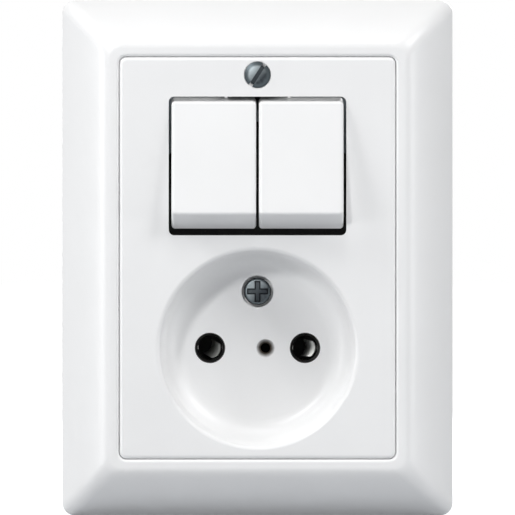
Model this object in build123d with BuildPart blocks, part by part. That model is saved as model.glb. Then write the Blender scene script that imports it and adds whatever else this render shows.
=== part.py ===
from build123d import *
import os
from math import atan2, cos, degrees, radians, sin, sqrt, tan

# Flush wall unit: a pair of rocker switches above one two-pole socket outlet.
# Millimetres. The wall is the plane Y = 0, the front faces -Y, +X is right and +Z is up.
# A height is a distance in front of the wall, so what sits in the wall box has a negative height.

os.makedirs("parts", exist_ok=True)

# Centre plate and cover frame
plate_width = 55.0
plate_thickness = 2.2
plate_corner_radius = 1.4
plate_edge_rounding = 0.8
plate_gap = 0.05
plate_top_margin = 7.9
plate_bottom_margin = 2.55
skirt_depth = 4.0
skirt_wall = 1.2
skirt_gap = 0.3
frame_border = 11.5
frame_depth = 13.0
frame_wall = 2.0
frame_edge_height = 2.5
frame_bevel_width = 9.9
frame_bevel_crown = 0.8
frame_shoulder_width = 1.6
frame_shoulder_drop = 0.5
frame_corner_radius = 2.5
frame_edge_rounding = 0.8
rim_edge_rounding = 0.7
collar_wall = 1.4
ledge_width = 1.5
ledge_thickness = 1.6
ledge_relief = 0.4

# Steel support plate and its fixing slots
support_side_margin = 5.5
support_end_margin = 8.0
support_thickness = 1.2
support_corner_chamfer = 7.0
box_screw_spacing = 60.0
box_slot_width = 4.2
box_slot_length = 6.0
tongue_width = 12.0
tongue_rise = 3.8
tongue_offset = 2.5
tongue_margin = 4.2
tongue_slit = 0.6
tongue_bend = 45.0

# Insert in the wall box
base_diameter = 55.0
base_depth = 22.0
base_wall = 1.8
front_wall = 1.2
pad_width = 40.0
pad_margin = 0.4
pad_gap = 0.2
stake_radius = 1.2
stake_gap = 0.1
stake_head_radius = 2.0
stake_head_height = 0.8
stake_head_taper = 30.0
stake_x = 24.0
stake_z = 8.0
rear_cover_thickness = 2.0
spigot_depth = 1.0
spigot_wall = 1.4
spigot_gap = 0.2
rear_panel_width = 18.0
rear_panel_height = 12.0
rear_panel_corner = 2.0
rear_panel_depth = 0.4

# Socket
pin_spacing = 19.0
dish_diameter = 38.9
dish_window_bridge = 3.05
dish_floor_thickness = 1.6
dish_seat_gap = 0.2
dish_wall = 1.5
dish_draft = 6.0
dish_floor_fillet = 4.5
dish_lip_radius = 1.0
pin_hole_diameter = 6.1
pin_guide_bore = 5.0
pin_guide_taper = 9.0
pin_guide_wall = 1.0
pin_guide_gap = 0.05
marker_hole_x = 1.6
marker_hole_diameter = 1.9
marker_sink_diameter = 3.6
marker_sink_angle = 60.0
sleeve_bore_diameter = 4.8
sleeve_wall = 0.7
sleeve_slit = 0.8
sleeve_slit_share = 0.75
sleeve_top_gap = 0.2
tail_thickness = 0.8
tail_width = 4.0

# Rockers and the parts that move with them
window_width = 35.35
window_height = 27.6
window_z = 18.3
window_corner_radius = 1.1
window_rim_depth = 0.8
window_rim_wall = 1.0
rocker_side_gap = 0.58
rocker_split_gap = 0.53
rocker_face_length = 22.6
rocker_reach = 10.0
rocker_skirt_depth = 6.0
rocker_wall = 1.2
rocker_draft = 18.0
rocker_edge_rounding = 0.6
rocker_corner_rounding = 0.7
rocker_tilt = 9.0
rocker_rib_depth = 3.0
rocker_rib_wall = 1.0
pivot_depth = 7.4
pivot_pin_radius = 1.25
pivot_pin_length = 1.7
pivot_clearance = 0.05
cradle_width = 11.0
cradle_length = 15.0
cradle_plate = 1.6
cradle_cheek = 1.4
cradle_cheek_foot = 2.2
cradle_seat_gap = 0.1
bearing_gap = 0.25
bearing_wall = 2.0
bearing_rim = 1.2
bearing_foot = 7.0
plunger_radius = 1.8
plunger_play = 0.2
plunger_guide_wall = 0.8
plunger_guide_below = 2.2
plunger_head = 1.2
plunger_contact_gap = 0.2
spring_wire = 0.4
spring_turns = 4
spring_end_gap = 0.05
plunger_window_gap = 0.5

# Switch contacts
tipping_axis_depth = 4.2
tipping_rise = 1.4
tipping_thickness = 0.8
tipping_width = 4.0
tipping_short_arm = 4.0
tipping_long_arm = 8.6
tipping_angle = 6.0
tipping_ridge_radius = 0.6
tipping_ridge_gap = 0.08
contact_button_radius = 1.2
contact_button_height = 0.5
contact_button_margin = 1.3
contact_gap_closed = 0.2
rail_thickness = 1.6
rail_width = 3.2
rail_overhang = 2.4
rail_front_gap = 0.1
strip_thickness = 0.8
strip_width = 4.0

# Terminals
terminal_radius = 19.6
terminal_radial = 6.8
terminal_width = 6.0
terminal_length = 9.0
wire_hole_diameter = 3.2
wire_hole_inset = 2.2
wire_funnel_diameter = 4.2
terminal_pocket_wall = 1.0
terminal_pocket_depth = 1.6
terminal_pocket_gap = 0.15
terminal_screw_radius = 1.7
terminal_screw_reach = 1.8
terminal_screw_inset = 4.5
terminal_head_radius = 2.7
terminal_head_height = 2.0
terminal_head_gap = 0.3
driver_hole_gap = 0.5
driver_slot_width = 0.8
driver_slot_depth = 0.9
thread_clearance = 0.05
terminal_angles = {
    "common": 90.0,
    "switch_right": 30.0,
    "switch_left": 150.0,
    "socket_right": -15.0,
    "socket_left": 195.0,
}

# Screws that hold the plate, the dish and the rear cover
cover_screw_edge = 3.6
cover_screw_radius = 1.5
cover_screw_head_radius = 2.6
cover_screw_dome = 0.35
cover_screw_slot_turn = 57.0
cover_screw_end_gap = 1.0
countersink_gap = 0.15
countersink_angle = 90.0
pillar_wall = 1.6
pillar_seat_gap = 0.2
socket_screw_rise = 11.3
socket_screw_radius = 1.75
socket_screw_head_radius = 2.7
socket_screw_head_height = 1.8
socket_screw_head_rounding = 0.6
socket_screw_recess_radius = 3.2
socket_screw_recess_depth = 1.6
socket_screw_length = 8.0
screw_boss_wall = 1.2
screw_boss_floor = 1.4
screw_boss_gap = 0.3
cross_arm_length = 4.2
cross_arm_width = 1.2
cross_taper = 15.0
slot_overrun = 1.0
screw_hole_gap = 0.3
insert_wall = 1.1
insert_depth = 8.0
insert_boss_wall = 1.6
rear_screw_ring = 22.5
rear_screw_radius = 1.2
rear_screw_length = 8.0
rear_head_radius = 2.3
rear_boss_radius = 4.0

# Sizes that follow from those above
dish_radius = dish_diameter / 2
socket_z = window_z - window_height / 2 - dish_window_bridge - dish_radius
plate_top = window_z + window_height / 2 + plate_top_margin
plate_bottom = socket_z - dish_radius - plate_bottom_margin
plate_height = plate_top - plate_bottom
plate_z = (plate_top + plate_bottom) / 2
cover_screw_z = plate_top - cover_screw_edge
socket_screw_z = socket_z + socket_screw_rise
frame_width = plate_width + 2 * frame_border
frame_height = plate_height + 2 * frame_border
plate_back = frame_depth - plate_thickness
opening_width = plate_width + 2 * plate_gap
opening_height = plate_height + 2 * plate_gap
opening_radius = plate_corner_radius + plate_gap
skirt_inset = ledge_width - plate_gap + skirt_gap
skirt_inner_inset = skirt_inset + skirt_wall

base_radius = base_diameter / 2
base_inner_radius = base_radius - base_wall
support_width = box_screw_spacing + 2 * support_side_margin
support_height = base_diameter + 2 * support_end_margin
pad_height = support_thickness
pad_radius = base_radius - pad_margin
tongue_root = base_radius + tongue_offset
tongue_top = cover_screw_z + tongue_margin
tongue_front = tongue_rise + support_thickness

dish_back = pad_height + dish_seat_gap
dish_floor = dish_back + dish_floor_thickness
pin_guide_radius = pin_guide_bore / 2 + pin_guide_wall
sleeve_bore_radius = sleeve_bore_diameter / 2
sleeve_radius = sleeve_bore_radius + sleeve_wall
sleeve_top = -front_wall - sleeve_top_gap
terminal_front = terminal_length - base_depth
terminal_screw_height = terminal_front - terminal_screw_inset
wire_radius = terminal_radius - terminal_radial / 2 + wire_hole_inset
screw_tip_radius = wire_radius + terminal_screw_reach
screw_head_seat = terminal_radius + terminal_radial / 2 + terminal_head_gap

rocker_width = (window_width - 2 * rocker_side_gap - rocker_split_gap) / 2
rocker_x = (rocker_width + rocker_split_gap) / 2
rocker_half = rocker_face_length / 2
pivot_height = frame_depth - pivot_depth
cradle_top = rocker_reach - rocker_wall
plunger_reach = (pivot_height + tipping_axis_depth - tipping_rise
                 - plunger_radius - plunger_contact_gap)
plunger_bore = plunger_radius + plunger_play
window_half_z = plunger_reach * sin(radians(rocker_tilt)) + plunger_radius + plunger_window_gap
window_half_x = plunger_radius + plunger_window_gap
bearing_radius = pivot_pin_radius + bearing_rim
inner_bearing_x = rocker_x - cradle_width / 2 - bearing_gap
outer_bearing_x = rocker_x + cradle_width / 2 + bearing_gap + bearing_wall / 2
insert_radius = socket_screw_radius + insert_wall
rear_screw_turn = radians((terminal_angles["switch_right"] + terminal_angles["socket_right"]) / 2)
rear_screw_x = rear_screw_ring * cos(rear_screw_turn)
rear_screw_z = rear_screw_ring * sin(rear_screw_turn)
pillar_radius = cover_screw_radius + screw_hole_gap + pillar_wall
socket_screw_seat = dish_floor - socket_screw_recess_depth
screw_boss_radius = socket_screw_recess_radius + screw_boss_wall
screw_boss_back = socket_screw_seat - screw_boss_floor
insert_front = screw_boss_back - dish_seat_gap

sides = (("left", -1), ("right", 1))


def level(height):
    """Plane parallel to the wall, with local x to the right and local y up."""
    return Plane.XZ.offset(height)


def spot(x, z, height):
    """Plane parallel to the wall with its origin at one point of the front."""
    return Plane(origin=(x, -height, z), x_dir=(1, 0, 0), z_dir=(0, -1, 0))


def front(height):
    """Plane parallel to the wall with its origin on the middle line of plate and frame."""
    return spot(0, plate_z, height)


def across(z=0.0):
    """Horizontal section plane, with local x to the right and local y as height."""
    return Plane(origin=(0, 0, z), x_dir=(1, 0, 0), z_dir=(0, 0, -1))


def upright(x=0.0):
    """Vertical section plane, with local x up and local y as height."""
    return Plane(origin=(x, 0, 0), x_dir=(0, 0, 1), z_dir=(1, 0, 0))


def rocking(x):
    """Section plane of a rocker at rest: origin on its pivot, local y out of its face."""
    lean = radians(rocker_tilt)
    return Plane(origin=(x, -pivot_height, window_z), x_dir=(0, sin(lean), cos(lean)), z_dir=(1, 0, 0))


def tipping(x):
    """Section plane of a tipping contact at rest: origin on its ridge, local y to the front."""
    lean = radians(-tipping_angle)
    return Plane(origin=(x, tipping_axis_depth, window_z), x_dir=(0, sin(lean), cos(lean)), z_dir=(1, 0, 0))


def radial(angle, distance):
    """Plane square to a spoke of the insert at the height of the terminal screws."""
    turn = radians(angle)
    centre = (distance * cos(turn), -terminal_screw_height, distance * sin(turn))
    return Plane(origin=centre, x_dir=(0, 1, 0), z_dir=(cos(turn), 0, sin(turn)))


def axis_of(plane):
    """Axis along the local y direction of a section plane."""
    return Axis(plane.origin, plane.y_dir)


def square_to(plane, along, out, facing=1):
    """Plane square to the local y direction of a section plane, at one of its points."""
    origin = plane.origin + plane.x_dir * along + plane.y_dir * out
    return Plane(origin=origin, x_dir=plane.x_dir, z_dir=plane.y_dir * facing)


def frame_block(stations):
    """Block with rounded corners, lofted through insets at rising heights above an upright edge."""
    with BuildPart() as block:
        for inset, height in stations:
            with BuildSketch(front(height)):
                RectangleRounded(frame_width - 2 * inset, frame_height - 2 * inset, frame_corner_radius)
        loft()
        inset, height = stations[0]
        with BuildSketch(front(0)):
            RectangleRounded(frame_width - 2 * inset, frame_height - 2 * inset, frame_corner_radius)
        extrude(amount=height)
    return block.part


def dish_section(mouth_radius, floor, top, fillet_radius):
    """Half section of the round dish, from its axis out to the drafted wall."""
    floor_radius = mouth_radius - (frame_depth - floor) * tan(radians(dish_draft))
    top_radius = mouth_radius - (frame_depth - top) * tan(radians(dish_draft))
    with BuildSketch() as section:
        with BuildLine():
            Polyline((0, top), (0, floor), (floor_radius, floor), (top_radius, top), close=True)
        make_face()
        fillet(section.vertices().sort_by(Axis.Y)[:2].sort_by(Axis.X)[-1:], fillet_radius)
    return section.sketch


def pad_outline(gap):
    """Outline of the raised front of the insert, a round disc cut straight at both sides."""
    with BuildSketch() as outline:
        Circle(pad_radius + gap)
        Rectangle(pad_width + 2 * gap, 2 * base_diameter, mode=Mode.INTERSECT)
    return outline.sketch


def rocker_outline(inset, below):
    """Side outline of a rocker cap, drawn smaller by a wall and open further below."""
    draft = radians(rocker_draft)
    top = rocker_reach - inset
    bottom = rocker_reach - rocker_skirt_depth - below
    half_top = rocker_half + inset * tan(draft) - inset / cos(draft)
    half_bottom = half_top + (top - bottom) * tan(draft)
    with BuildSketch() as outline:
        with BuildLine():
            Polyline((-half_top, top), (half_top, top), (half_bottom, bottom), (-half_bottom, bottom),
                     close=True)
        make_face()
    return outline.sketch


# Cover frame: an arched bevel with a soft shoulder, hollow behind
shoulder_inset = frame_bevel_width - frame_shoulder_width
shoulder_height = frame_depth - frame_shoulder_drop
bevel_line = SagittaArc((0, frame_edge_height), (shoulder_inset, shoulder_height), frame_bevel_crown)
shoulder_line = TangentArc((shoulder_inset, shoulder_height), (frame_bevel_width, frame_depth),
                           tangent=bevel_line % 1)
bevel_shares = (0, 0.25, 0.5, 0.75, 1)
shoulder_shares = (0.5, 1)
bevel_points = [bevel_line @ share for share in bevel_shares]
bevel_points += [shoulder_line @ share for share in shoulder_shares]

frame_slope = (frame_depth - frame_edge_height) / frame_bevel_width
hollow_height = frame_depth - frame_wall
hollow_edge_height = frame_edge_height - frame_wall * (sqrt(1 + frame_slope**2) - frame_slope)
hollow_inset = frame_wall + (hollow_height - hollow_edge_height) / frame_slope

with BuildPart() as cover_frame:
    add(frame_block([(point.X, point.Y) for point in bevel_points]))
    crease = edges().filter_by_position(Axis.Y, -frame_edge_height - frame_edge_rounding / 2,
                                        -frame_edge_height + frame_edge_rounding / 2)
    fillet(crease, frame_edge_rounding)
    add(frame_block([(frame_wall, hollow_edge_height), (hollow_inset, hollow_height)]), mode=Mode.SUBTRACT)
    with BuildSketch(front(plate_back - ledge_thickness)):
        RectangleRounded(opening_width + 2 * collar_wall, opening_height + 2 * collar_wall,
                         opening_radius + collar_wall)
    extrude(amount=ledge_thickness + frame_wall)
    with BuildSketch(front(plate_back)):
        RectangleRounded(opening_width, opening_height, opening_radius)
    extrude(amount=plate_thickness, mode=Mode.SUBTRACT)
    with BuildSketch(front(0)):
        RectangleRounded(opening_width - 2 * ledge_width, opening_height - 2 * ledge_width, opening_radius)
    extrude(amount=frame_depth, mode=Mode.SUBTRACT)
    with BuildSketch(level(0)):
        with Locations((0, socket_z)):
            Circle(dish_radius + dish_wall + ledge_relief)
        with Locations((0, cover_screw_z)):
            Circle(pillar_radius + ledge_relief)
    extrude(amount=plate_back, mode=Mode.SUBTRACT)
    rim_edges = faces().sort_by(Axis.Y)[0].inner_wires()[0].edges()
    fillet(rim_edges, rim_edge_rounding)
cover_frame.part.label = "cover_frame"
export_step(cover_frame.part, "parts/cover_frame.step")

# Centre plate with the switch window and the socket dish
dish_axis = Axis((0, 0, socket_z), (0, 1, 0))

with BuildPart() as centre_plate:
    with BuildSketch(front(plate_back)):
        RectangleRounded(plate_width, plate_height, plate_corner_radius)
    extrude(amount=plate_thickness)
    fillet(faces().sort_by(Axis.Y)[0].edges(), plate_edge_rounding)
    with BuildSketch(front(plate_back - skirt_depth)):
        RectangleRounded(plate_width - 2 * skirt_inset, plate_height - 2 * skirt_inset, plate_corner_radius)
        Rectangle(plate_width - 2 * skirt_inner_inset, plate_height - 2 * skirt_inner_inset,
                  mode=Mode.SUBTRACT)
    extrude(amount=skirt_depth)
    with BuildSketch(level(plate_back - window_rim_depth)):
        with Locations((0, window_z)):
            RectangleRounded(window_width + 2 * window_rim_wall, window_height + 2 * window_rim_wall,
                             window_corner_radius + window_rim_wall)
    extrude(amount=window_rim_depth)
    with BuildSketch(level(tongue_front + pillar_seat_gap)):
        with Locations((0, cover_screw_z)):
            Circle(pillar_radius)
    extrude(amount=plate_back - tongue_front - pillar_seat_gap)
    with BuildSketch(across(socket_z)):
        add(dish_section(dish_radius + dish_wall, dish_back, plate_back, dish_floor_fillet + dish_wall))
    revolve(axis=dish_axis)
    with BuildSketch(level(dish_back)):
        with Locations((0, socket_screw_z)):
            Circle(screw_boss_radius)
    extrude(amount=screw_boss_back - dish_back)
    with BuildSketch(across(socket_z)):
        add(dish_section(dish_radius, dish_floor, frame_depth, dish_floor_fillet))
    revolve(axis=dish_axis, mode=Mode.SUBTRACT)
    lip = edges().filter_by(GeomType.CIRCLE).group_by(Axis.Y)[0].sort_by(SortBy.RADIUS)[-1]
    fillet(lip, dish_lip_radius)
    with BuildSketch(level(plate_back - window_rim_depth)):
        with Locations((0, window_z)):
            RectangleRounded(window_width, window_height, window_corner_radius)
    extrude(amount=plate_thickness + window_rim_depth, mode=Mode.SUBTRACT)
    with BuildSketch(level(dish_floor)):
        with Locations((-pin_spacing / 2, socket_z), (pin_spacing / 2, socket_z)):
            Circle(pin_hole_diameter / 2)
    extrude(amount=-dish_floor_thickness, mode=Mode.SUBTRACT)
    with Locations(spot(marker_hole_x, socket_z, dish_floor)):
        CounterSinkHole(marker_hole_diameter / 2, marker_sink_diameter / 2, dish_floor_thickness,
                        counter_sink_angle=marker_sink_angle)
    with Locations(spot(0, socket_screw_z, frame_depth)):
        CounterBoreHole(socket_screw_radius + screw_hole_gap, socket_screw_recess_radius,
                        frame_depth - socket_screw_seat)
    with Locations(spot(0, cover_screw_z, frame_depth)):
        CounterSinkHole(cover_screw_radius + screw_hole_gap, cover_screw_head_radius + countersink_gap,
                        counter_sink_angle=countersink_angle)
centre_plate.part.label = "centre_plate"
export_step(centre_plate.part, "parts/centre_plate.step")

# Steel support plate with a raised tongue for the cover screw
bend_run = support_thickness * tan(radians(tongue_bend / 2))

with BuildPart() as support_plate:
    with BuildSketch(level(0)):
        Rectangle(support_width, support_height)
        chamfer(vertices(), support_corner_chamfer)
        add(pad_outline(pad_gap), mode=Mode.SUBTRACT)
        with Locations((-box_screw_spacing / 2, 0), (box_screw_spacing / 2, 0)):
            SlotOverall(box_slot_length, box_slot_width, mode=Mode.SUBTRACT)
        with GridLocations(2 * stake_x, 2 * stake_z, 2, 2):
            Circle(stake_radius + stake_gap, mode=Mode.SUBTRACT)
        with Locations((0, tongue_root)):
            Rectangle(tongue_width + 2 * tongue_slit, support_height, align=(Align.CENTER, Align.MIN),
                      mode=Mode.SUBTRACT)
    extrude(amount=support_thickness)
    with BuildSketch(upright()):
        with BuildLine():
            Polyline((tongue_root - bend_run, 0), (tongue_root, 0),
                     (tongue_root + tongue_rise, tongue_rise), (tongue_top, tongue_rise),
                     (tongue_top, tongue_front),
                     (tongue_root + tongue_rise - bend_run, tongue_front),
                     (tongue_root - bend_run, support_thickness), close=True)
        make_face()
    extrude(amount=tongue_width / 2, both=True)
    with BuildSketch(level(tongue_rise)):
        with Locations((0, cover_screw_z)):
            Circle(cover_screw_radius + thread_clearance)
    extrude(amount=support_thickness, mode=Mode.SUBTRACT)
support_plate.part.label = "support_plate"
export_step(support_plate.part, "parts/support_plate.step")

# Insert base: front wall, rocker bearings and bosses
bearing_cheeks = (
    (-outer_bearing_x, bearing_wall),
    (0, 2 * inner_bearing_x),
    (outer_bearing_x, bearing_wall),
)
pin_spots = [(sign * pin_spacing / 2, socket_z) for side, sign in sides]
rear_screw_spots = [(sign * rear_screw_x, rear_screw_z) for side, sign in sides]

with BuildPart() as insert_base:
    with BuildSketch(level(-base_depth)):
        Circle(base_radius)
    extrude(amount=base_depth)
    with BuildSketch(level(-base_depth)):
        Circle(base_inner_radius)
    extrude(amount=base_depth - front_wall, mode=Mode.SUBTRACT)
    with BuildSketch(level(0)):
        add(pad_outline(0))
        with GridLocations(2 * stake_x, 2 * stake_z, 2, 2):
            Circle(stake_radius)
    extrude(amount=pad_height)
    with BuildSketch(level(pad_height)):
        with GridLocations(2 * stake_x, 2 * stake_z, 2, 2):
            Circle(stake_head_radius)
    extrude(amount=stake_head_height, taper=stake_head_taper)
    with BuildSketch(level(-front_wall)):
        with Locations((0, socket_screw_z)):
            Circle(insert_radius + insert_boss_wall)
    extrude(amount=insert_front - insert_depth + front_wall)
    with BuildSketch(level(-base_depth)):
        with Locations(*rear_screw_spots):
            Circle(rear_boss_radius)
    extrude(amount=base_depth - front_wall)
    for cheek_x, cheek_wall in bearing_cheeks:
        with BuildSketch(upright(cheek_x)):
            with BuildLine():
                Polyline((window_z - bearing_foot / 2, pad_height),
                         (window_z + bearing_foot / 2, pad_height),
                         (window_z + bearing_radius, pivot_height),
                         (window_z - bearing_radius, pivot_height), close=True)
            make_face()
            with Locations((window_z, pivot_height)):
                Circle(bearing_radius)
        extrude(amount=cheek_wall / 2, both=True)
    with BuildSketch(upright()):
        with Locations((window_z, pivot_height)):
            Circle(pivot_pin_radius + pivot_clearance)
    extrude(amount=base_diameter, both=True, mode=Mode.SUBTRACT)
    with BuildSketch(level(pad_height)):
        with Locations(*pin_spots):
            Circle(pin_guide_radius + pin_guide_gap)
        with Locations((-rocker_x, window_z), (rocker_x, window_z)):
            Rectangle(2 * window_half_x, 2 * window_half_z)
    extrude(amount=-pad_height - front_wall, mode=Mode.SUBTRACT)
    with BuildSketch(level(pad_height)):
        with Locations((0, socket_screw_z)):
            Circle(screw_boss_radius + screw_boss_gap)
    extrude(amount=insert_front - pad_height, mode=Mode.SUBTRACT)
    with BuildSketch(level(insert_front)):
        with Locations((0, socket_screw_z)):
            Circle(insert_radius + thread_clearance)
    extrude(amount=-insert_depth, mode=Mode.SUBTRACT)
    with BuildSketch(level(-base_depth)):
        with Locations(*rear_screw_spots):
            Circle(rear_screw_radius + thread_clearance)
    extrude(amount=rear_screw_length, mode=Mode.SUBTRACT)
    for angle in terminal_angles.values():
        with BuildSketch(radial(angle, screw_head_seat)):
            Circle(terminal_head_radius + driver_hole_gap)
        extrude(amount=base_radius, mode=Mode.SUBTRACT)
insert_base.part.label = "insert_base"
export_step(insert_base.part, "parts/insert_base.step")

# Pin guides: bushes pressed into the front of the insert, each with a funnel that leads the pin in
for side, sign in sides:
    with BuildPart() as pin_guide:
        with BuildSketch(level(-front_wall)):
            with Locations((sign * pin_spacing / 2, socket_z)):
                Circle(pin_guide_radius)
        extrude(amount=front_wall + pad_height)
        with BuildSketch(level(-front_wall)):
            with Locations((sign * pin_spacing / 2, socket_z)):
                Circle(pin_guide_bore / 2)
        extrude(amount=front_wall + pad_height, taper=-pin_guide_taper, mode=Mode.SUBTRACT)
    pin_guide.part.label = f"pin_guide_{side}"
    export_step(pin_guide.part, f"parts/pin_guide_{side}.step")

# Rear cover with the wire entries and a pocket behind each terminal
rear_face = Plane(origin=(0, base_depth + rear_cover_thickness, 0), x_dir=(-1, 0, 0), z_dir=(0, 1, 0))
spigot_radius = base_inner_radius - spigot_gap
pocket_radial = terminal_radial + 2 * terminal_pocket_gap
pocket_width = terminal_width + 2 * terminal_pocket_gap

with BuildPart() as rear_cover:
    with BuildSketch(level(-base_depth - rear_cover_thickness)):
        Circle(base_radius)
    extrude(amount=rear_cover_thickness)
    chamfer(faces().sort_by(Axis.Y)[-1].edges(), rear_cover_thickness / 2)
    with BuildSketch(level(-base_depth)):
        Circle(spigot_radius)
        Circle(spigot_radius - spigot_wall, mode=Mode.SUBTRACT)
        with Locations(*rear_screw_spots):
            Circle(rear_boss_radius + spigot_gap, mode=Mode.SUBTRACT)
    extrude(amount=spigot_depth)
    for angle in terminal_angles.values():
        with BuildSketch(level(-base_depth)):
            with PolarLocations(terminal_radius, 1, start_angle=angle):
                Rectangle(pocket_radial + 2 * terminal_pocket_wall, pocket_width + 2 * terminal_pocket_wall)
                Rectangle(pocket_radial, pocket_width, mode=Mode.SUBTRACT)
        extrude(amount=terminal_pocket_depth)
        with Locations(rear_face):
            with PolarLocations(wire_radius, 1, start_angle=180 - angle):
                CounterSinkHole(wire_hole_diameter / 2, wire_funnel_diameter / 2, rear_cover_thickness,
                                counter_sink_angle=countersink_angle)
    with BuildSketch(rear_face):
        RectangleRounded(rear_panel_width, rear_panel_height, rear_panel_corner)
    extrude(amount=-rear_panel_depth, mode=Mode.SUBTRACT)
    with Locations(rear_face):
        with Locations(*rear_screw_spots):
            CounterSinkHole(rear_screw_radius + screw_hole_gap, rear_head_radius + countersink_gap,
                            counter_sink_angle=countersink_angle)
rear_cover.part.label = "rear_cover"
export_step(rear_cover.part, "parts/rear_cover.step")

# Rockers, cradles, plungers and springs, drawn tilted with the lower end proud
rib_z = cradle_length / 2 + cradle_seat_gap + rocker_rib_wall / 2
cradle_ceiling = cradle_top - cradle_seat_gap - cradle_plate
spring_height = cradle_ceiling - plunger_head - spring_wire - 2 * spring_end_gap
spring_radius = plunger_radius - spring_wire / 2
plunger_tip = -plunger_reach - plunger_radius

for side, sign in sides:
    section = rocking(sign * rocker_x)
    face_axis = axis_of(section)

    with BuildPart() as rocker:
        with BuildSketch(section):
            add(rocker_outline(0, 0))
        extrude(amount=rocker_width / 2, both=True)
        face = faces().sort_by(face_axis)[-1]
        mouth = faces().sort_by(face_axis)[0]
        fillet(edges() - face.edges() - mouth.edges(), rocker_corner_rounding)
        fillet(faces().sort_by(face_axis)[-1].edges(), rocker_edge_rounding)
        with BuildSketch(section):
            add(rocker_outline(rocker_wall, rocker_wall))
        extrude(amount=rocker_width / 2 - rocker_wall, both=True, mode=Mode.SUBTRACT)
        with BuildSketch(section):
            with Locations((-rib_z, cradle_top), (rib_z, cradle_top)):
                Rectangle(rocker_rib_wall, rocker_rib_depth, align=(Align.CENTER, Align.MAX))
        extrude(amount=rocker_width / 2 - rocker_wall, both=True)
    rocker.part.label = f"rocker_{side}"
    export_step(rocker.part, f"parts/rocker_{side}.step")

    with BuildPart() as cradle:
        with BuildSketch(section):
            with Locations((0, cradle_ceiling)):
                Rectangle(cradle_length, cradle_plate, align=(Align.CENTER, Align.MIN))
        extrude(amount=cradle_width / 2, both=True)
        for cheek_sign in (-1, 1):
            cheek_plane = section.offset(cheek_sign * cradle_width / 2)
            with BuildSketch(cheek_plane):
                Circle(cradle_cheek_foot)
                with BuildLine():
                    Polyline((-cradle_cheek_foot, 0), (cradle_cheek_foot, 0),
                             (cradle_length / 2, cradle_ceiling),
                             (-cradle_length / 2, cradle_ceiling), close=True)
                make_face()
            extrude(amount=-cheek_sign * cradle_cheek)
            with BuildSketch(cheek_plane):
                Circle(pivot_pin_radius)
            extrude(amount=cheek_sign * pivot_pin_length)
        with BuildSketch(square_to(section, 0, -plunger_guide_below)):
            Circle(plunger_bore + plunger_guide_wall)
        extrude(amount=plunger_guide_below + cradle_ceiling)
        with BuildSketch(square_to(section, 0, -plunger_guide_below)):
            Circle(plunger_bore)
        extrude(amount=plunger_guide_below + cradle_ceiling, mode=Mode.SUBTRACT)
    cradle.part.label = f"cradle_{side}"
    export_step(cradle.part, f"parts/cradle_{side}.step")

    with BuildPart() as plunger:
        with BuildSketch(section):
            with BuildLine():
                Polyline((0, plunger_tip), (0, plunger_head), (plunger_radius, plunger_head),
                         (plunger_radius, -plunger_reach))
                RadiusArc((plunger_radius, -plunger_reach), (0, plunger_tip), plunger_radius)
            make_face()
        revolve(axis=face_axis)
    plunger.part.label = f"plunger_{side}"
    export_step(plunger.part, f"parts/plunger_{side}.step")

    with BuildPart() as plunger_spring:
        spring_foot = section.origin + section.y_dir * (plunger_head + spring_end_gap + spring_wire / 2)
        with BuildLine() as coil:
            Helix(spring_height / spring_turns, spring_height, spring_radius,
                  center=spring_foot, direction=section.y_dir)
        with BuildSketch(Plane(origin=coil.line @ 0, z_dir=coil.line % 0)):
            Circle(spring_wire / 2)
        sweep(is_frenet=True)
    plunger_spring.part.label = f"plunger_spring_{side}"
    export_step(plunger_spring.part, f"parts/plunger_spring_{side}.step")

# Switch contacts: tipping arms on a common rail, one fixed contact each
tip = radians(tipping_angle)
button_arm = tipping_long_arm - contact_button_margin
button_z = window_z - button_arm * cos(tip)
tipping_back = tipping_rise - tipping_thickness
closed_height = (-tipping_axis_depth + (tipping_back - contact_button_height) * cos(tip)
                 - (button_arm + contact_button_radius) * sin(tip))
strip_front = closed_height - contact_gap_closed - contact_button_height
strip_back = strip_front - strip_thickness
rail_front = -tipping_axis_depth - rail_front_gap
rail_back = rail_front - rail_thickness

for side, sign in sides:
    arm = tipping(sign * rocker_x)
    with BuildPart() as tipping_contact:
        with BuildSketch(arm):
            with Locations((-tipping_long_arm, tipping_back)):
                Rectangle(tipping_long_arm + tipping_short_arm, tipping_thickness,
                          align=(Align.MIN, Align.MIN))
            Circle(tipping_ridge_radius)
            Rectangle(2 * tipping_ridge_radius, tipping_back, align=(Align.CENTER, Align.MIN))
        extrude(amount=tipping_width / 2, both=True)
        with BuildSketch(square_to(arm, -button_arm, tipping_back, -1)):
            Circle(contact_button_radius)
        extrude(amount=contact_button_height)
    tipping_contact.part.label = f"tipping_contact_{side}"
    export_step(tipping_contact.part, f"parts/tipping_contact_{side}.step")

    turn = radians(terminal_angles[f"switch_{side}"])
    leg_x = terminal_radius * cos(turn)
    with BuildPart() as fixed_contact:
        with BuildSketch(across(button_z)):
            with BuildLine():
                Polyline((sign * (rocker_x - strip_width / 2), strip_front),
                         (leg_x + sign * strip_thickness, strip_front),
                         (leg_x + sign * strip_thickness, terminal_front),
                         (leg_x, terminal_front),
                         (leg_x, strip_back),
                         (sign * (rocker_x - strip_width / 2), strip_back), close=True)
            make_face()
        extrude(amount=strip_width / 2, both=True)
        with BuildSketch(level(strip_front)):
            with Locations((sign * rocker_x, button_z)):
                Circle(contact_button_radius)
        extrude(amount=contact_button_height)
    fixed_contact.part.label = f"fixed_contact_{side}"
    export_step(fixed_contact.part, f"parts/fixed_contact_{side}.step")

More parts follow.
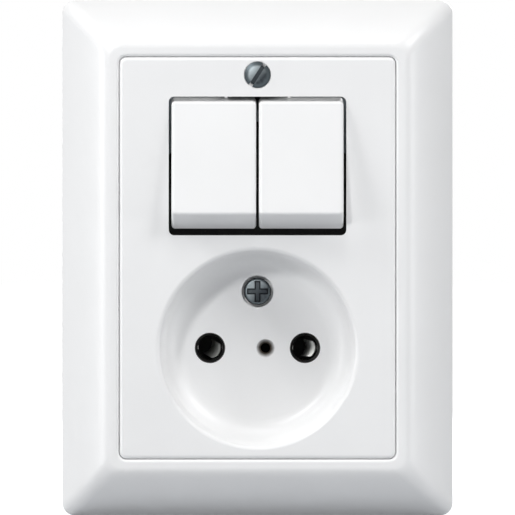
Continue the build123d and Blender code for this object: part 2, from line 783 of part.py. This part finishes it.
with BuildPart() as common_rail:
    with BuildSketch(upright()):
        with Locations((window_z, rail_front)):
            Rectangle(rail_width, rail_thickness, align=(Align.CENTER, Align.MAX))
        with Locations((window_z, -tipping_axis_depth)):
            Circle(tipping_ridge_radius + tipping_ridge_gap, mode=Mode.SUBTRACT)
    extrude(amount=rocker_x + rail_overhang, both=True)
    with BuildSketch(level(terminal_front)):
        with Locations((0, window_z)):
            Rectangle(strip_width, rail_width)
    extrude(amount=rail_back - terminal_front)
common_rail.part.label = "common_rail"
export_step(common_rail.part, "parts/common_rail.step")

# Socket contacts: split sleeves with a tail to their terminal
for side, sign in sides:
    turn = radians(terminal_angles[f"socket_{side}"])
    pin = Vector(sign * pin_spacing / 2, socket_z)
    clamp = Vector(terminal_radius * cos(turn), terminal_radius * sin(turn))
    run = clamp - pin
    with BuildPart() as socket_contact:
        with BuildSketch(level(terminal_front)):
            with Locations(pin):
                Circle(sleeve_radius)
        extrude(amount=sleeve_top - terminal_front)
        with BuildSketch(level(terminal_front)):
            with Locations((pin + clamp) / 2):
                SlotCenterToCenter(run.length, tail_width, rotation=degrees(atan2(run.Y, run.X)))
        extrude(amount=tail_thickness)
        with BuildSketch(level(terminal_front)):
            with Locations(pin):
                Circle(sleeve_bore_radius)
        extrude(amount=sleeve_top - terminal_front, mode=Mode.SUBTRACT)
        with BuildSketch(level(sleeve_top)):
            with Locations(pin):
                Rectangle(2 * (sleeve_radius + slot_overrun), sleeve_slit)
        extrude(amount=sleeve_slit_share * (terminal_front - sleeve_top), mode=Mode.SUBTRACT)
    socket_contact.part.label = f"socket_contact_{side}"
    export_step(socket_contact.part, f"parts/socket_contact_{side}.step")

# Terminal blocks and their clamping screws
for name, angle in terminal_angles.items():
    with BuildPart() as terminal_block:
        with BuildSketch(level(-base_depth)):
            with PolarLocations(terminal_radius, 1, start_angle=angle):
                Rectangle(terminal_radial, terminal_width)
        extrude(amount=terminal_length)
        with BuildSketch(level(-base_depth)):
            with PolarLocations(wire_radius, 1, start_angle=angle):
                Circle(wire_hole_diameter / 2)
        extrude(amount=terminal_length - tail_thickness, mode=Mode.SUBTRACT)
        with BuildSketch(radial(angle, wire_radius)):
            Circle(terminal_screw_radius + thread_clearance)
        extrude(amount=terminal_radial, mode=Mode.SUBTRACT)
    terminal_block.part.label = f"terminal_block_{name}"
    export_step(terminal_block.part, f"parts/terminal_block_{name}.step")

with BuildPart() as terminal_screws:
    for angle in terminal_angles.values():
        with BuildSketch(radial(angle, screw_tip_radius)):
            Circle(terminal_screw_radius)
        extrude(amount=screw_head_seat - screw_tip_radius)
        with BuildSketch(radial(angle, screw_head_seat)):
            Circle(terminal_head_radius)
        extrude(amount=terminal_head_height)
        with BuildSketch(radial(angle, screw_head_seat + terminal_head_height)):
            Rectangle(2 * (terminal_head_radius + slot_overrun), driver_slot_width, rotation=angle)
        extrude(amount=-driver_slot_depth, mode=Mode.SUBTRACT)
terminal_screws.part.label = "terminal_screws"
export_step(terminal_screws.part, "parts/terminal_screws.step")

# Screws of the cover, the dish and the rear cover, and the brass insert
cover_screw_neck = frame_depth - (cover_screw_head_radius - cover_screw_radius)
cover_screw_top = frame_depth + cover_screw_dome

with BuildPart() as cover_screw:
    with BuildSketch(across(cover_screw_z)):
        with BuildLine():
            Polyline((0, cover_screw_top), (0, cover_screw_end_gap),
                     (cover_screw_radius, cover_screw_end_gap), (cover_screw_radius, cover_screw_neck),
                     (cover_screw_head_radius, frame_depth))
            TangentArc((0, cover_screw_top), (cover_screw_head_radius, frame_depth), tangent=(1, 0))
        make_face()
    revolve(axis=Axis((0, 0, cover_screw_z), (0, 1, 0)))
    with BuildSketch(level(cover_screw_top)):
        with Locations((0, cover_screw_z)):
            Rectangle(2 * (cover_screw_head_radius + slot_overrun), driver_slot_width,
                      rotation=cover_screw_slot_turn)
    extrude(amount=-driver_slot_depth, mode=Mode.SUBTRACT)
cover_screw.part.label = "cover_screw"
export_step(cover_screw.part, "parts/cover_screw.step")

with BuildPart() as socket_screw:
    with BuildSketch(level(socket_screw_seat)):
        with Locations((0, socket_screw_z)):
            Circle(socket_screw_head_radius)
    extrude(amount=socket_screw_head_height)
    fillet(faces().sort_by(Axis.Y)[0].edges(), socket_screw_head_rounding)
    with BuildSketch(level(socket_screw_seat)):
        with Locations((0, socket_screw_z)):
            Circle(socket_screw_radius)
    extrude(amount=-socket_screw_length)
    with BuildSketch(level(socket_screw_seat + socket_screw_head_height)):
        with Locations((0, socket_screw_z)):
            Rectangle(cross_arm_length, cross_arm_width)
            Rectangle(cross_arm_width, cross_arm_length)
    extrude(amount=-driver_slot_depth, mode=Mode.SUBTRACT, taper=cross_taper)
socket_screw.part.label = "socket_screw"
export_step(socket_screw.part, "parts/socket_screw.step")

with BuildPart() as threaded_insert:
    with BuildSketch(level(insert_front)):
        with Locations((0, socket_screw_z)):
            Circle(insert_radius)
            Circle(socket_screw_radius + thread_clearance, mode=Mode.SUBTRACT)
    extrude(amount=-insert_depth)
threaded_insert.part.label = "threaded_insert"
export_step(threaded_insert.part, "parts/threaded_insert.step")

rear_screw_head = -base_depth - rear_cover_thickness
with BuildPart() as rear_cover_screws:
    for side, sign in sides:
        with BuildSketch(across(rear_screw_z)):
            with BuildLine():
                Polyline((sign * rear_screw_x, rear_screw_head),
                         (sign * (rear_screw_x + rear_head_radius), rear_screw_head),
                         (sign * (rear_screw_x + rear_screw_radius),
                          rear_screw_head + rear_head_radius - rear_screw_radius),
                         (sign * (rear_screw_x + rear_screw_radius), rear_screw_head + rear_screw_length),
                         (sign * rear_screw_x, rear_screw_head + rear_screw_length), close=True)
            make_face()
        revolve(axis=Axis((sign * rear_screw_x, 0, rear_screw_z), (0, 1, 0)))
        with BuildSketch(level(rear_screw_head)):
            with Locations((sign * rear_screw_x, rear_screw_z)):
                Rectangle(2 * (rear_head_radius + slot_overrun), driver_slot_width)
        extrude(amount=driver_slot_depth, mode=Mode.SUBTRACT)
rear_cover_screws.part.label = "rear_cover_screws"
export_step(rear_cover_screws.part, "parts/rear_cover_screws.step")
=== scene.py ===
# %% [markdown]
# # A wall unit with two rocker switches and one socket outlet
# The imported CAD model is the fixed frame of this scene. It is loaded once, in metres,
# and every finish and every added piece is set against its real nodes.

# %% Load the frame
import math

import bpy
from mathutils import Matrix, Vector


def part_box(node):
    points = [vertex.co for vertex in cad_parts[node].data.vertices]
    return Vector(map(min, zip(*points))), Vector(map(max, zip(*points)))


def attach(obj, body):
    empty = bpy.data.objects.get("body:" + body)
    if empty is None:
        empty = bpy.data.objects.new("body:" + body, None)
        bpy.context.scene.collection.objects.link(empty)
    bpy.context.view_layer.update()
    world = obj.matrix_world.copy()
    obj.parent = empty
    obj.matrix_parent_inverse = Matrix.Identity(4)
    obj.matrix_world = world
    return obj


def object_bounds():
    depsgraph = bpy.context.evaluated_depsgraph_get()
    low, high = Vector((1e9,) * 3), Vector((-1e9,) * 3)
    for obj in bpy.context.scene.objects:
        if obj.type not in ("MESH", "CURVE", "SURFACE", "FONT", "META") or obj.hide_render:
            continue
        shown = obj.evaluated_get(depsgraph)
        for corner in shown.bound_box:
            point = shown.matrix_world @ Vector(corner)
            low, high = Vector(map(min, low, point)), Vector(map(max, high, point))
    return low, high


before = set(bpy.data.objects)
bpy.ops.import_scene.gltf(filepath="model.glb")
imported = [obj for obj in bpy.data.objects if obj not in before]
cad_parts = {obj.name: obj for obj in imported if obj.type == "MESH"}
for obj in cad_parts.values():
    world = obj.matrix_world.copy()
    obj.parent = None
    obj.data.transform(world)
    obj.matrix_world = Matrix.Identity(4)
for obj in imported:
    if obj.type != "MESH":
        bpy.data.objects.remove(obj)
cad_low, cad_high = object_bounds()
print("CAD box in mm:", [round(1000 * side, 2) for side in cad_high - cad_low])

MM = 0.001
dish_z = -18 * MM

# %% [markdown]
# ## Camera
# The photo looks straight at the front. A long lens from two metres away keeps the sides of
# the pin holes and of the frame parallel, as they are in the photo.

# %% Camera
camera_distance = 2.0
view_width = 103.1 * MM
sensor_width = 36.0
view_centre_z = 0.08 * MM

camera_data = bpy.data.cameras.new("photo_camera")
camera_data.sensor_width = sensor_width
camera_data.lens = sensor_width * camera_distance / view_width
camera_data.clip_start = 0.1
camera_data.clip_end = 20.0
camera = bpy.data.objects.new("photo_camera", camera_data)
camera.location = (0, -camera_distance, view_centre_z)
camera.rotation_euler = (math.radians(90), 0, 0)
bpy.context.scene.collection.objects.link(camera)
bpy.context.scene.camera = camera
bpy.context.scene.view_settings.view_transform = "Standard"
print("lens in mm:", round(camera_data.lens))

# %% [markdown]
# ## Helpers for the finishes
# Colours are written as sRGB hex values, as a colour picker shows them, and one function turns
# them into the linear values that Blender works in. One more function adds a node to a
# material, with its settings and its links.

# %% Helpers for the finishes
def linear(hex_colour):
    """Linear colour with alpha for an sRGB hex value."""
    channels = [int(hex_colour[i:i + 2], 16) / 255 for i in (1, 3, 5)]
    return tuple(c / 12.92 if c <= 0.04045 else ((c + 0.055) / 1.055) ** 2.4 for c in channels) + (1.0,)


def add_node(tree, kind, links=(), **settings):
    """New node; a setting named as an input sets that input, any other sets a property."""
    node = tree.nodes.new(kind)
    for name, value in settings.items():
        socket = name.replace("_", " ").title()
        if socket in node.inputs:
            node.inputs[socket].default_value = value
        else:
            setattr(node, name, value)
    for source, target in links:
        tree.links.new(source, node.inputs[target])
    return node


def new_finish(name):
    """New material, with its node tree, its surface shader and its object coordinates."""
    finish = bpy.data.materials.new(name)
    finish.use_nodes = True
    tree = finish.node_tree
    surface = tree.nodes["Principled BSDF"]
    place = tree.nodes.new("ShaderNodeTexCoord").outputs["Object"]
    return finish, tree, surface, place


# %% [markdown]
# ## The small hole in the dish
# A small countersunk hole sits just right of the middle of the dish. Two finishes change with
# the distance from its axis: painted shade darkens the white around it and the black behind it.

# %% The small hole in the dish
hole_x = 1.6 * MM
hole_reach = 1.75 * MM


def distance_from_hole(tree, place):
    """Distance from the axis of the small hole, seen from the front."""
    from_hole = add_node(tree, "ShaderNodeMapping", [(place, "Vector")],
                         location=(-hole_x, 0, -dish_z), scale=(1, 0, 1))
    radius = add_node(tree, "ShaderNodeVectorMath", [(from_hole.outputs["Vector"], 0)],
                      operation="LENGTH")
    return radius.outputs["Value"]


# %% [markdown]
# ## White moulded plastic
# The frame, the plate and the rockers are moulded in white thermoset with a satin gloss. The
# eye sees an almost even white. The tone drifts a little over about 15 mm, and the skin of the
# tool leaves a very fine grain, drawn here at 0.4 mm, which is coarser than the real one. In the
# small countersunk hole the white turns a dark brownish grey, as painted shade in the countersink.

# %% White moulded plastic
tone_size = 15 * MM
grain_size = 0.4 * MM
# Painted shade in the small countersunk hole: it starts at the first radius and is full at the second.
countersink_shade_start = hole_reach + 0.15 * MM
countersink_shade_full = hole_reach - 0.6 * MM
moulded_white, tree, surface, place = new_finish("moulded_white_plastic")
tone = add_node(tree, "ShaderNodeTexNoise", [(place, "Vector")], scale=1 / tone_size, detail=2.0)
white = add_node(tree, "ShaderNodeMix", [(tone.outputs["Fac"], "Factor")], data_type="RGBA")
white.inputs["A"].default_value = linear("#E6E6E6")
white.inputs["B"].default_value = linear("#ECECEC")
grain = add_node(tree, "ShaderNodeTexNoise", [(place, "Vector")], scale=1 / grain_size, detail=2.0)
gloss = add_node(tree, "ShaderNodeMapRange", [(grain.outputs["Fac"], "Value")],
                 to_min=0.30, to_max=0.38)
skin = add_node(tree, "ShaderNodeBump", [(grain.outputs["Fac"], "Height")],
                strength=0.05, distance=0.02 * MM)
# Painted shade: the white turns dark brownish grey towards the axis of the small hole.
countersink_shade = add_node(tree, "ShaderNodeMapRange", [(distance_from_hole(tree, place), "Value")],
                 from_min=countersink_shade_start, from_max=countersink_shade_full)
countersink_shaded = add_node(tree, "ShaderNodeMix",
                  [(countersink_shade.outputs["Result"], "Factor"), (white.outputs["Result"], "A")],
                  data_type="RGBA")
countersink_shaded.inputs["B"].default_value = linear("#4C443C")
tree.links.new(countersink_shaded.outputs["Result"], surface.inputs["Base Color"])
tree.links.new(gloss.outputs["Result"], surface.inputs["Roughness"])
tree.links.new(skin.outputs["Normal"], surface.inputs["Normal"])
print("finish:", moulded_white.name)

# %% [markdown]
# ## Black thermoset of the insert
# The insert behind the plate is black phenolic. Its filler shows as fine brownish specks, and
# its surface is dull. Behind the small hole in the dish it is painted a dead black without gloss, as
# painted shade for the depth of the hole.

# %% Black thermoset of the insert
speck_size = 0.5 * MM
painted_shade_full_radius = 1.2 * MM
painted_shade_end_radius = 2.0 * MM
black_thermoset, tree, surface, place = new_finish("black_phenolic_thermoset")
speck = add_node(tree, "ShaderNodeTexNoise", [(place, "Vector")], scale=1 / speck_size, detail=4.0)
sieve = add_node(tree, "ShaderNodeMapRange", [(speck.outputs["Fac"], "Value")],
                 from_min=0.58, from_max=0.72)
black = add_node(tree, "ShaderNodeMix", [(sieve.outputs["Result"], "Factor")], data_type="RGBA")
black.inputs["A"].default_value = linear("#1C1B1A")
black.inputs["B"].default_value = linear("#3A342D")
dullness = add_node(tree, "ShaderNodeMapRange", [(speck.outputs["Fac"], "Value")],
                    to_min=0.42, to_max=0.6)
skin = add_node(tree, "ShaderNodeBump", [(speck.outputs["Fac"], "Height")],
                strength=0.15, distance=0.03 * MM)
# Painted shade: a dead black disc without gloss about the axis of the small hole.
clear = add_node(tree, "ShaderNodeMapRange", [(distance_from_hole(tree, place), "Value")],
                 from_min=painted_shade_full_radius, from_max=painted_shade_end_radius)
shown = add_node(tree, "ShaderNodeMix",
                 [(clear.outputs["Result"], "Factor"), (black.outputs["Result"], "B")],
                 data_type="RGBA")
shown.inputs["A"].default_value = linear("#060505")
lustre = add_node(tree, "ShaderNodeMapRange", [(clear.outputs["Result"], "Value")], to_max=0.5)
tree.links.new(shown.outputs["Result"], surface.inputs["Base Color"])
tree.links.new(lustre.outputs["Result"], surface.inputs["Specular IOR Level"])
tree.links.new(dullness.outputs["Result"], surface.inputs["Roughness"])
tree.links.new(skin.outputs["Normal"], surface.inputs["Normal"])
print("finish:", black_thermoset.name)

# %% [markdown]
# ## Pale nylon of the switch parts
# Cradles and plungers are moulded in natural nylon: slightly yellow, waxy, with faint clouds.

# %% Pale nylon of the switch parts
cloud_size = 3 * MM
pale_nylon, tree, surface, place = new_finish("natural_nylon")
cloud = add_node(tree, "ShaderNodeTexNoise", [(place, "Vector")], scale=1 / cloud_size, detail=3.0)
wax = add_node(tree, "ShaderNodeMix", [(cloud.outputs["Fac"], "Factor")], data_type="RGBA")
wax.inputs["A"].default_value = linear("#D6D1C2")
wax.inputs["B"].default_value = linear("#E2DED2")
sheen = add_node(tree, "ShaderNodeMapRange", [(cloud.outputs["Fac"], "Value")],
                 to_min=0.38, to_max=0.5)
tree.links.new(wax.outputs["Result"], surface.inputs["Base Color"])
tree.links.new(sheen.outputs["Result"], surface.inputs["Roughness"])
print("finish:", pale_nylon.name)

# %% [markdown]
# ## Metals
# The metals differ in colour and in how they were made, and share one build: patches of tone
# from plating or tarnish, fine tool marks, and roughness that follows the marks.

# %% Metals
mark_stretch = 0.15


def metal_finish(name, dark, light, patch_size, mark_size, smoothest, roughest):
    """Metal with patches of two tones and fine marks across it."""
    finish, tree, surface, place = new_finish(name)
    patch = add_node(tree, "ShaderNodeTexNoise", [(place, "Vector")],
                     scale=1 / patch_size, detail=4.0)
    tones = add_node(tree, "ShaderNodeMix", [(patch.outputs["Fac"], "Factor")], data_type="RGBA")
    tones.inputs["A"].default_value = linear(dark)
    tones.inputs["B"].default_value = linear(light)
    drawn = add_node(tree, "ShaderNodeMapping", [(place, "Vector")], scale=(1.0, mark_stretch, 1.0))
    marks = add_node(tree, "ShaderNodeTexNoise", [(drawn.outputs["Vector"], "Vector")],
                     scale=1 / mark_size, detail=3.0)
    rough = add_node(tree, "ShaderNodeMapRange", [(marks.outputs["Fac"], "Value")],
                     to_min=smoothest, to_max=roughest)
    skin = add_node(tree, "ShaderNodeBump", [(marks.outputs["Fac"], "Height")],
                    strength=0.15, distance=0.02 * MM)
    surface.inputs["Metallic"].default_value = 1.0
    tree.links.new(tones.outputs["Result"], surface.inputs["Base Color"])
    tree.links.new(rough.outputs["Result"], surface.inputs["Roughness"])
    tree.links.new(skin.outputs["Normal"], surface.inputs["Normal"])
    print("finish:", name)
    return finish


zinc_plate = metal_finish("zinc_plated_steel", "#6E7579", "#8D9498", patch_size=2.0 * MM,
                          mark_size=0.25 * MM, smoothest=0.25, roughest=0.45)
spring_wire = metal_finish("drawn_spring_steel", "#6A6B6D", "#8B8D90", patch_size=1.5 * MM,
                           mark_size=0.15 * MM, smoothest=0.2, roughest=0.35)
bare_brass = metal_finish("bare_brass", "#A8843F", "#C6A45C", patch_size=3.0 * MM,
                          mark_size=0.25 * MM, smoothest=0.2, roughest=0.4)
worn_bronze = metal_finish("worn_tinned_bronze", "#9C9D9A", "#BDBEBB", patch_size=1.0 * MM,
                           mark_size=0.2 * MM, smoothest=0.42, roughest=0.55)

# %% [markdown]
# ## Dark mouth of the sleeves
# The front rim of each contact sleeve is painted almost black, as painted shade in the pin holes. The
# depth behind the wall plane steers it, because the rim is the part of the sleeve nearest to the front.

# %% Dark mouth of the sleeves
rim_shaded_y = 1.8 * MM
rim_unshaded_y = 2.4 * MM
sleeve_bronze = metal_finish("tinned_bronze_painted_mouth_shade", "#A9AAA6", "#C9CAC7", patch_size=2.0 * MM,
                             mark_size=0.2 * MM, smoothest=0.18, roughest=0.32)
tree = sleeve_bronze.node_tree
surface = tree.nodes["Principled BSDF"]
unshaded_tone = surface.inputs["Base Color"].links[0].from_socket
place = tree.nodes.new("ShaderNodeTexCoord").outputs["Object"]
apart = add_node(tree, "ShaderNodeSeparateXYZ", [(place, "Vector")])
# Painted shade: the sleeve turns almost black towards its front rim.
mouth_shade = add_node(tree, "ShaderNodeMapRange", [(apart.outputs["Y"], "Value")],
                 from_min=rim_unshaded_y, from_max=rim_shaded_y)
mouth_shaded = add_node(tree, "ShaderNodeMix", [(mouth_shade.outputs["Result"], "Factor"), (unshaded_tone, "A")],
                    data_type="RGBA")
mouth_shaded.inputs["B"].default_value = linear("#0E0D0C")
tree.links.new(mouth_shaded.outputs["Result"], surface.inputs["Base Color"])

# %% [markdown]
# ## Zinc of the two front screws, with tarnish and painted shade
# The plating of the two screws that show in front has patches of tarnish. Shade is painted into
# the colour as well: dark at the edge of the head, in the bottom of the recess and on the lower
# right, and bright on the upper left. The place on the head steers the tone, so each screw has its own
# copy, centred on its own axis.

# %% Zinc of the two front screws, with tarnish and painted shade
# Painted shade at the head's edge, across the head and in the recess; the noise patches are tarnish.
edge_inside = 0.25 * MM
edge_outside = 0.15 * MM
lower_right_shade_reach = 1.6 * MM
lower_right_shade_share = 0.75
tarnish_size = 0.8 * MM
tarnish_share = 0.35
recess_start = 0.15 * MM
recess_full = 0.5 * MM
recess_shade_share = 0.8


def screw_finish(name, node, face_radius):
    """Zinc with tarnish patches, and painted shade towards the head's edge, its lower right and the bottom
    of its recess.
    """
    finish, tree, surface, place = new_finish(name)
    low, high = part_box(node)
    centred = add_node(tree, "ShaderNodeMapping", [(place, "Vector")],
                       location=(0, -low[1], -(low[2] + high[2]) / 2))
    apart = add_node(tree, "ShaderNodeSeparateXYZ", [(centred.outputs["Vector"], "Vector")])
    flat = add_node(tree, "ShaderNodeCombineXYZ",
                    [(apart.outputs["X"], "X"), (apart.outputs["Z"], "Z")])
    reach = add_node(tree, "ShaderNodeVectorMath", [(flat.outputs["Vector"], 0)], operation="LENGTH")
    # Painted shade: a dark ring at the edge of the head.
    edge = add_node(tree, "ShaderNodeMapRange", [(reach.outputs["Value"], "Value")],
                    from_min=face_radius - edge_inside, from_max=face_radius + edge_outside)
    # Painted light and shade: darker to the lower right, lighter to the upper left.
    across = add_node(tree, "ShaderNodeMath", [(apart.outputs["X"], 0), (apart.outputs["Z"], 1)],
                      operation="SUBTRACT")
    lower_right_shade = add_node(tree, "ShaderNodeMapRange", [(across.outputs["Value"], "Value")],
                    from_min=-lower_right_shade_reach, from_max=lower_right_shade_reach, to_max=lower_right_shade_share)
    patch = add_node(tree, "ShaderNodeTexNoise", [(place, "Vector")],
                     scale=1 / tarnish_size, detail=4.0)
    cloud = add_node(tree, "ShaderNodeMath",
                     [(patch.outputs["Fac"], 0), (lower_right_shade.outputs["Result"], 2)],
                     operation="MULTIPLY_ADD")
    cloud.inputs[1].default_value = tarnish_share
    # The light tone is painted light on the upper left; the dark tone is tarnish and painted shade.
    tones = add_node(tree, "ShaderNodeMix", [(cloud.outputs["Value"], "Factor")], data_type="RGBA")
    tones.inputs["A"].default_value = linear("#8E9699")
    tones.inputs["B"].default_value = linear("#2A2E32")
    rim_shaded = add_node(tree, "ShaderNodeMix",
                    [(edge.outputs["Result"], "Factor"), (tones.outputs["Result"], "A")],
                    data_type="RGBA")
    rim_shaded.inputs["B"].default_value = linear("#4A5154")
    # Painted shade in the bottom of the recess.
    recess_shaded = add_node(tree, "ShaderNodeMapRange", [(apart.outputs["Y"], "Value")],
                    from_min=recess_start, from_max=recess_full, to_max=recess_shade_share)
    dark = add_node(tree, "ShaderNodeMix",
                    [(recess_shaded.outputs["Result"], "Factor"), (rim_shaded.outputs["Result"], "A")],
                    data_type="RGBA")
    dark.inputs["B"].default_value = linear("#2B2F33")
    rough = add_node(tree, "ShaderNodeMapRange", [(patch.outputs["Fac"], "Value")],
                     to_min=0.28, to_max=0.45)
    surface.inputs["Metallic"].default_value = 1.0
    tree.links.new(dark.outputs["Result"], surface.inputs["Base Color"])
    tree.links.new(rough.outputs["Result"], surface.inputs["Roughness"])
    print("finish:", name)
    return finish


cover_screw_zinc = screw_finish("zinc_cover_screw_tarnish_and_painted_shade", "cover_screw", face_radius=1.9 * MM)
socket_screw_zinc = screw_finish("zinc_socket_screw_tarnish_and_painted_shade", "socket_screw", face_radius=2.3 * MM)

# %% [markdown]
# ## Finishes on the CAD nodes
# Every CAD node keeps its shape and gets the finish of its real material.

# %% Finishes on the CAD nodes
node_finishes = {
    moulded_white: ["cover_frame", "centre_plate", "rocker_left", "rocker_right"],
    black_thermoset: ["insert_base", "rear_cover", "pin_guide_left", "pin_guide_right"],
    pale_nylon: ["cradle_left", "cradle_right", "plunger_left", "plunger_right"],
    zinc_plate: ["support_plate", "terminal_screws", "rear_cover_screws"],
    cover_screw_zinc: ["cover_screw"],
    socket_screw_zinc: ["socket_screw"],
    spring_wire: ["plunger_spring_left", "plunger_spring_right"],
    sleeve_bronze: ["socket_contact_left", "socket_contact_right"],
    bare_brass: ["tipping_contact_left", "tipping_contact_right", "fixed_contact_left",
                 "fixed_contact_right", "common_rail", "threaded_insert", "terminal_block_common",
                 "terminal_block_switch_left", "terminal_block_switch_right",
                 "terminal_block_socket_left", "terminal_block_socket_right"],
}
for finish, names in node_finishes.items():
    for name in names:
        for material_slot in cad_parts[name].material_slots:
            material_slot.material = finish
bare_nodes = set(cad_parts) - {name for names in node_finishes.values() for name in names}
print("nodes without a finish:", sorted(bare_nodes))

# %% [markdown]
# ## Contact tongues in the sleeves
# On the real socket a tongue is cut from the wall of each sleeve and bent inwards, so that it
# presses on the pin, and it is what glints in the pin holes. Its front is rolled over, to lead the
# pin in. A bent flat strip would not lie in the round wall, so an arc of a circle is extruded step
# by step along the bend instead, and then gets its thickness. Each step of the bend is given as
# the way inwards and the way along the sleeve, in millimetres.

# %% Contact tongues in the sleeves
sleeve_radius = 2.4 * MM
sleeve_offset = 9.5 * MM
tongue_thickness = 0.3 * MM
tongue_play = 0.08 * MM
tongue_spread = math.radians(52)
tongue_bend = [(0.25, 0.04), (0.4, 0.1), (0.45, 0.2), (0.45, 0.35),
               (0.35, 0.6), (0.1, 0.9), (-0.1, 1.2), (-0.3, 1.2)]


def contact_tongue(name, sleeve_x, front_y, turn):
    """Bent tongue in one sleeve, on the side that turn names, from front_y inwards."""
    centre = Vector((sleeve_x, front_y, dish_z))
    side = Vector((math.cos(turn), 0, math.sin(turn)))
    bpy.ops.object.select_all(action="DESELECT")
    bpy.ops.mesh.primitive_circle_add(vertices=72, location=centre, rotation=(math.radians(90), 0, 0),
                                      radius=sleeve_radius - tongue_play - tongue_thickness / 2)
    tongue = bpy.context.object
    tongue.name = name
    bpy.ops.object.transform_apply(location=True, rotation=True, scale=True)
    bpy.ops.object.mode_set(mode="EDIT")
    bpy.ops.mesh.select_all(action="DESELECT")
    bpy.ops.object.mode_set(mode="OBJECT")
    for corner in tongue.data.vertices:
        corner.select = (corner.co - centre).angle(side) > tongue_spread
    bpy.ops.object.mode_set(mode="EDIT")
    bpy.ops.mesh.delete(type="VERT")
    bpy.ops.mesh.select_all(action="SELECT")
    for inwards, along in tongue_bend:
        step = Vector((0, along, 0)) - inwards * side
        bpy.ops.mesh.extrude_region_move(TRANSFORM_OT_translate={"value": step * MM})
    bpy.ops.mesh.select_all(action="SELECT")
    bpy.ops.mesh.normals_make_consistent(inside=False)
    bpy.ops.object.mode_set(mode="OBJECT")
    wall = tongue.modifiers.new("wall", "SOLIDIFY")
    wall.thickness = tongue_thickness
    wall.offset = 0
    bpy.ops.object.modifier_apply(modifier="wall")
    smooth = tongue.modifiers.new("smooth", "SUBSURF")
    smooth.levels = 2
    smooth.render_levels = 2
    bpy.ops.object.modifier_apply(modifier="smooth")
    bpy.ops.object.shade_smooth()
    tongue.data.materials.append(worn_bronze)
    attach(tongue, "unit")
    print(name, "faces:", len(tongue.data.polygons))


contact_tongue("contact_tongue_left", sleeve_x=-sleeve_offset, front_y=5.4 * MM, turn=math.radians(-30))
contact_tongue("contact_tongue_right", sleeve_x=sleeve_offset, front_y=2.2 * MM, turn=math.radians(-8))

# %% [markdown]
# ## Floor and background
# The floor and the world look white to the camera, and also in reflections, so that metal
# shows them. Far away the floor glows a full white, so no horizon shows. Near the object it
# glows a little less, and the lamps make up the rest, so it still takes the object's shadow.

# %% Floor and background
floor_size = 40.0
near_glow = 0.85
near_distance = 0.15
far_distance = 0.6
ambient_level = 0.02


def looked_at(tree):
    """One for rays from the camera, off a gloss or through glass, and nought for all others."""
    path = tree.nodes.new("ShaderNodeLightPath")
    seen_or_glossy = add_node(tree, "ShaderNodeMath", [(path.outputs["Is Camera Ray"], 0),
                                                       (path.outputs["Is Glossy Ray"], 1)],
                              operation="MAXIMUM")
    seen_at_all = add_node(tree, "ShaderNodeMath", [(seen_or_glossy.outputs["Value"], 0),
                                                    (path.outputs["Is Transmission Ray"], 1)],
                           operation="MAXIMUM")
    return seen_at_all.outputs["Value"]


floor_finish, tree, surface, place = new_finish("pale_floor")
surface.inputs["Base Color"].default_value = linear("#B2B5B9")
surface.inputs["Roughness"].default_value = 0.8
surface.inputs["Specular IOR Level"].default_value = 0.0
away = add_node(tree, "ShaderNodeVectorMath", [(place, 0)], operation="LENGTH")
fade = add_node(tree, "ShaderNodeMapRange", [(away.outputs["Value"], "Value")],
                from_min=near_distance, from_max=far_distance, to_min=near_glow, to_max=1.0)
shine = add_node(tree, "ShaderNodeMath", [(looked_at(tree), 0), (fade.outputs["Result"], 1)],
                 operation="MULTIPLY")
glow = add_node(tree, "ShaderNodeEmission", [(shine.outputs["Value"], "Strength")], color=(1, 1, 1, 1))
both = add_node(tree, "ShaderNodeAddShader", [(surface.outputs["BSDF"], 0), (glow.outputs["Emission"], 1)])
tree.links.new(both.outputs["Shader"], tree.nodes["Material Output"].inputs["Surface"])

bpy.ops.object.select_all(action="DESELECT")
bpy.ops.mesh.primitive_plane_add(size=floor_size, location=(0, 0, cad_low.z))
floor = bpy.context.object
floor.name = "pale_floor"
floor.data.materials.append(floor_finish)

world = bpy.data.worlds.new("studio")
world.use_nodes = True
bpy.context.scene.world = world
tree = world.node_tree
level = add_node(tree, "ShaderNodeMapRange", [(looked_at(tree), "Value")],
                 to_min=ambient_level, to_max=1.0)
tree.links.new(level.outputs["Result"], tree.nodes["Background"].inputs["Strength"])
tree.nodes["Background"].inputs["Color"].default_value = (1, 1, 1, 1)
print("floor at", round(1000 * cad_low.z, 2), "mm")

# %% [markdown]
# ## Studio light
# The photo is lit from above and from the upper left, with softer light from both sides. The
# dark crescent in the dish and the shadow below the rockers show that little light comes from
# below. The key stands in front at eleven o'clock, and is small, so that the pin holes and the
# dish have clear shadows. One lamp behind the wall plane shows the back from other sides. Each
# lamp has its place in metres, its diameter in metres and its power in watts.

# %% Studio light
lamps = {
    "key": ((-0.36, -0.85, 0.42), 0.15, 3.2),
    "top": ((0.0, -0.45, 0.95), 0.3, 2.4),
    "upper_left": ((-0.7, -0.25, 0.7), 0.25, 3.4),
    "upper_right": ((0.6, -0.5, 0.6), 0.3, 3.2),
    "left": ((-0.95, -0.4, 0.0), 0.4, 3.9),
    "right": ((0.95, -0.4, 0.0), 0.4, 2.6),
    "behind": ((0.4, 0.95, 0.5), 0.5, 8.0),
}
for name, (spot, size, power) in lamps.items():
    lamp_data = bpy.data.lights.new(name, "AREA")
    lamp_data.shape = "DISK"
    lamp_data.size = size
    lamp_data.energy = power
    lamp = bpy.data.objects.new(name, lamp_data)
    lamp.location = spot
    lamp.rotation_euler = (-Vector(spot)).to_track_quat("-Z", "Y").to_euler()
    bpy.context.scene.collection.objects.link(lamp)
print("lamps:", len(lamps))
